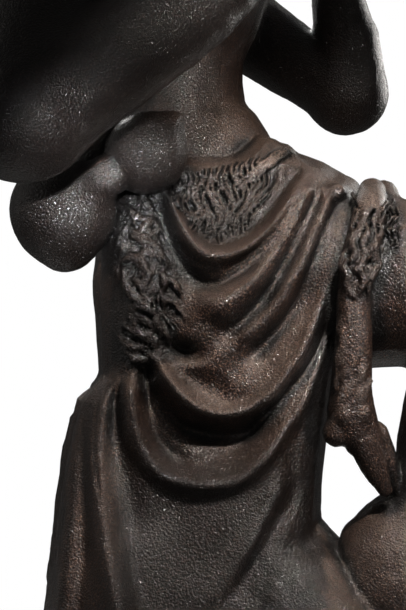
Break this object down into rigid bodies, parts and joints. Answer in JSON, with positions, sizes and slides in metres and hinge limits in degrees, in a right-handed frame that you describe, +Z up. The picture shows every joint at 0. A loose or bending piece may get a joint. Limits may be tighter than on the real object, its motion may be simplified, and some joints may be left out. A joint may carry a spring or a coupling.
{
  "type": "cast iron garden statue",
  "caption": "Seated shepherd youth playing a flute on a rock, cast in iron, with a goatskin over the lap and a two-lobed gourd at the hip.",
  "frame": {"origin": "on the flat underside of the rock base, below the front of the seat", "axes": "+Z up; +X the way the seated figure faces; -Y the figure's right-hand side, where the gourd hangs"},
  "size_m": [0.7683, 0.668, 1.2354],
  "materials": {
    "iron": "dark brown weathered sand-cast iron with a pitted skin and a dull oiled sheen"
  },
  "bodies": {
    "root": {"statue": "iron"}
  },
  "joints": []
}
